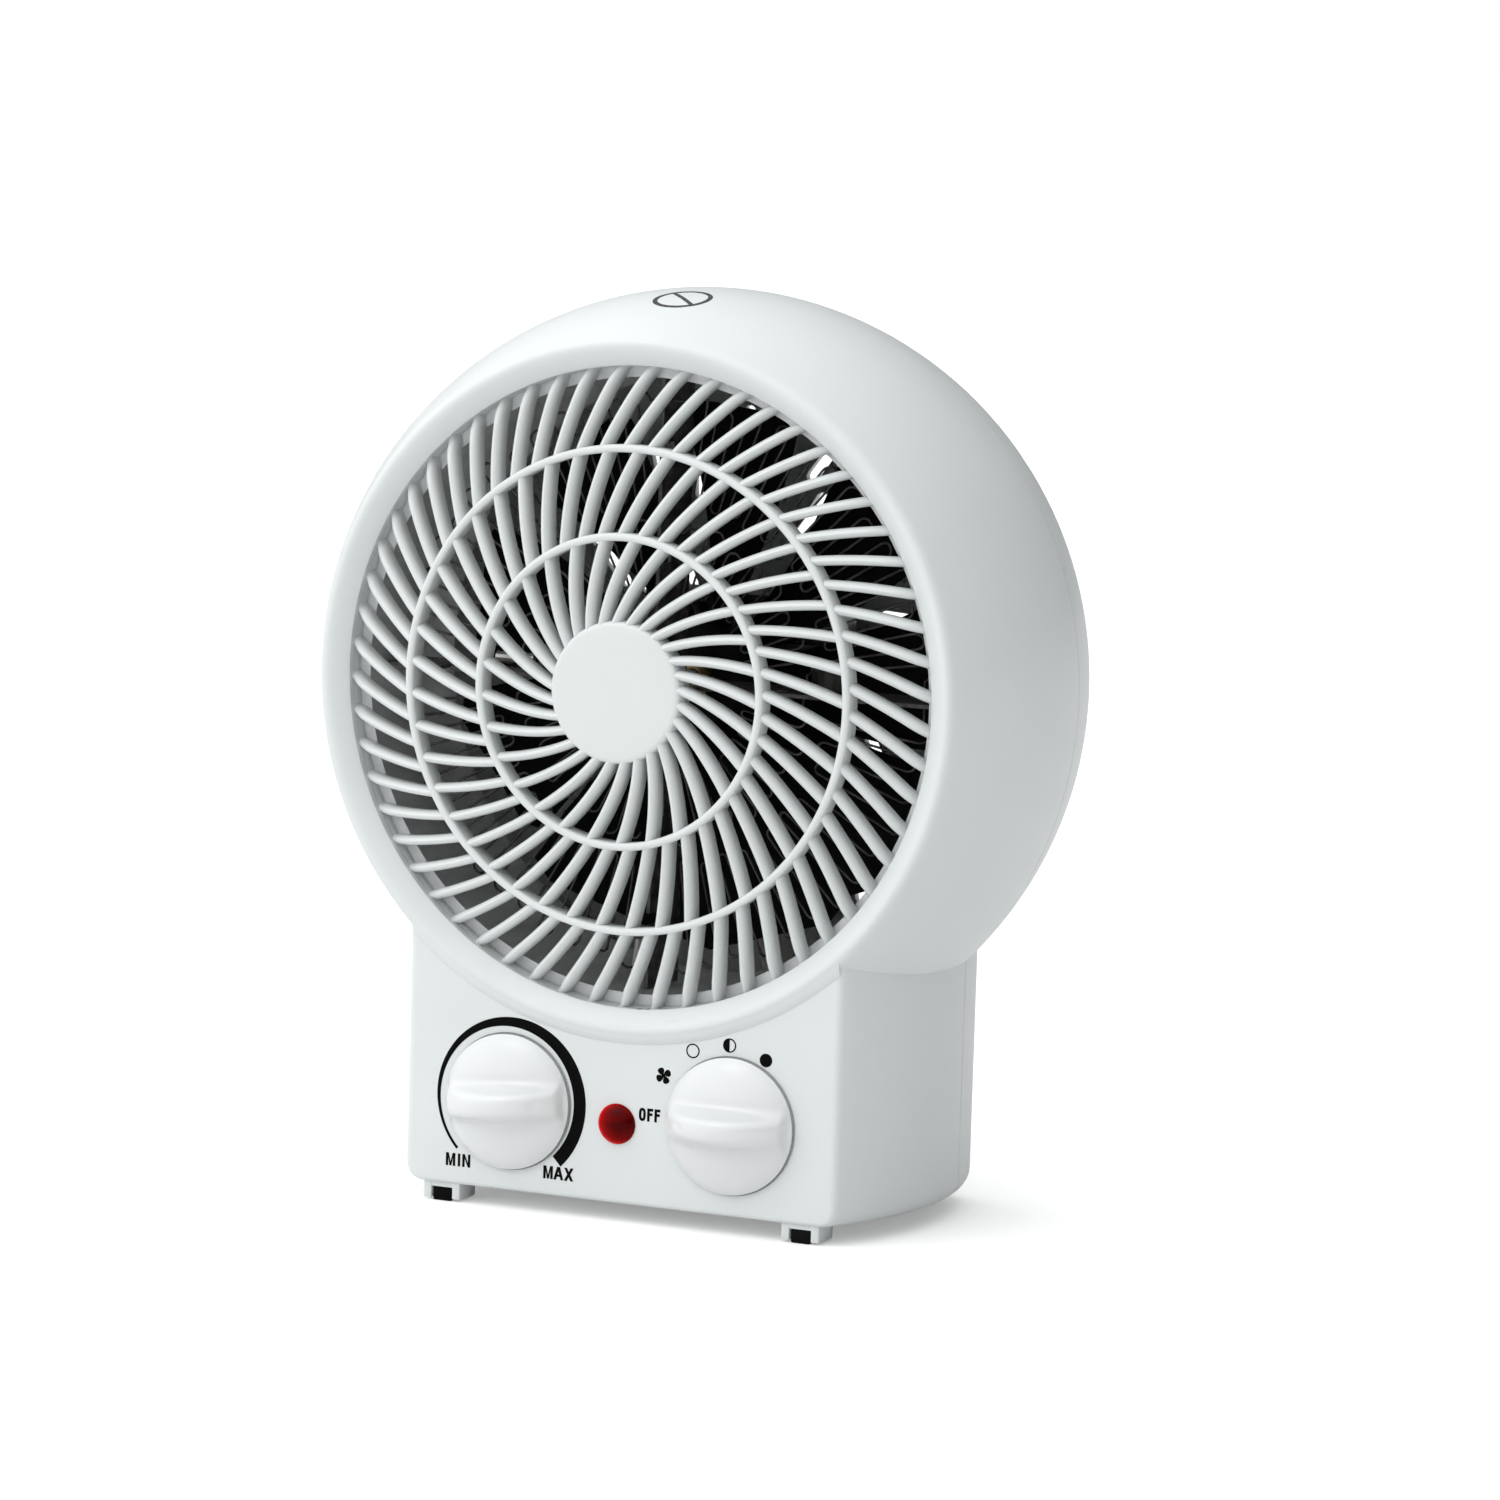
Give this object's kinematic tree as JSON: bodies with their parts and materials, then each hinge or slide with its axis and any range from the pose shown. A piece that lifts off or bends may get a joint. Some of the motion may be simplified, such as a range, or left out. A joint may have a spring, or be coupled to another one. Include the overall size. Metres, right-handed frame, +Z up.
{
  "type": "fan convector heater",
  "caption": "Free-standing fan convector heater: a round drum with a domed spiral grille on a low base that carries a thermostat knob, a selector knob and an indicator lamp.",
  "frame": {"origin": "on the floor, under the middle of the bounding box", "axes": "+Z up, the grille and the control panel face -Y, +X to the right of someone who looks at the grille"},
  "size_m": [0.2024, 0.1068, 0.2397],
  "materials": {
    "housing_white": "satin moulded polypropylene",
    "grille_white": "satin moulded plastic",
    "knob_white": "glossy moulded plastic",
    "lamp_red": "clear red moulded lens",
    "rubber_black": "matt",
    "plastic_black": "matt moulded",
    "duct_steel": "bright rolled sheet",
    "mica": "pale layered mica sheet",
    "coil_wire": "nickel-chromium wire",
    "core_steel": "electrical steel",
    "winding": "varnished copper winding in tape",
    "brass": "plain",
    "screw_zinc": "zinc plated",
    "lead_white": "heat-proof sleeve",
    "lead_brown": "heat-proof sleeve"
  },
  "bodies": {
    "housing": {"front_housing": "housing_white", "rear_housing": "housing_white", "foot_pad_front_left": "rubber_black", "foot_pad_rear_left": "rubber_black", "foot_pad_front_right": "rubber_black", "foot_pad_rear_right": "rubber_black", "housing_screw_1": "screw_zinc", "housing_screw_2": "screw_zinc", "housing_screw_3": "screw_zinc", "housing_screw_4": "screw_zinc", "housing_screw_5": "screw_zinc", "housing_screw_6": "screw_zinc", "front_grille": "grille_white", "hub_cap": "grille_white", "thermostat_body": "core_steel", "selector_body": "plastic_black", "thermostat_nut": "screw_zinc", "selector_nut": "screw_zinc", "thermostat_bimetal": "brass", "lamp_lens": "lamp_red", "neon_lamp": "lead_white", "air_duct": "duct_steel", "mica_plate_horizontal": "mica", "mica_plate_vertical": "mica", "heating_coil_outer": "coil_wire", "heating_coil_inner": "coil_wire", "thermal_cutout": "plastic_black", "thermal_fuse": "screw_zinc", "stator_core": "core_steel", "stator_winding": "winding", "bearing_bracket_front": "core_steel", "bearing_bracket_rear": "core_steel", "bearing_front": "brass", "bearing_rear": "brass", "motor_screw_left": "screw_zinc", "motor_screw_right": "screw_zinc", "cable_gland": "rubber_black", "cord_clamp_block": "plastic_black", "cord_clamp_bar": "plastic_black", "terminal_block": "lead_white", "tilt_switch_body": "plastic_black", "lead_supply": "lead_brown", "lead_thermostat": "lead_brown", "lead_element": "lead_white", "lead_motor": "lead_white"},
    "fan_rotor": {"impeller": "plastic_black", "impeller_clip": "brass", "motor_shaft": "core_steel", "motor_rotor": "core_steel"},
    "thermostat_dial": {"thermostat_knob": "knob_white", "thermostat_spindle": "brass"},
    "selector_dial": {"selector_knob": "knob_white", "selector_spindle": "brass"},
    "tilt_plunger": {"tilt_switch_plunger": "plastic_black"}
  },
  "joints": [
    {"name": "fan_spin", "type": "hinge", "parent": "housing", "child": "fan_rotor", "pos_m": [0, 0.007, 0.1385], "axis": [0, -1, 0], "continuous": true},
    {"name": "thermostat_turn", "type": "hinge", "parent": "housing", "child": "thermostat_dial", "pos_m": [-0.0318, -0.0408, 0.02865], "axis": [0, 1, 0], "range_deg": [-217, 48]},
    {"name": "selector_turn", "type": "hinge", "parent": "housing", "child": "selector_dial", "pos_m": [0.0318, -0.0408, 0.02865], "axis": [0, 1, 0], "range_deg": [0, 120]},
    {"name": "tilt_plunger_drop", "type": "slide", "parent": "housing", "child": "tilt_plunger", "axis": [0, 0, -1], "range_m": [0, 0.004], "stiffness_N_per_m": 60, "springref_m": 0.006}
  ]
}
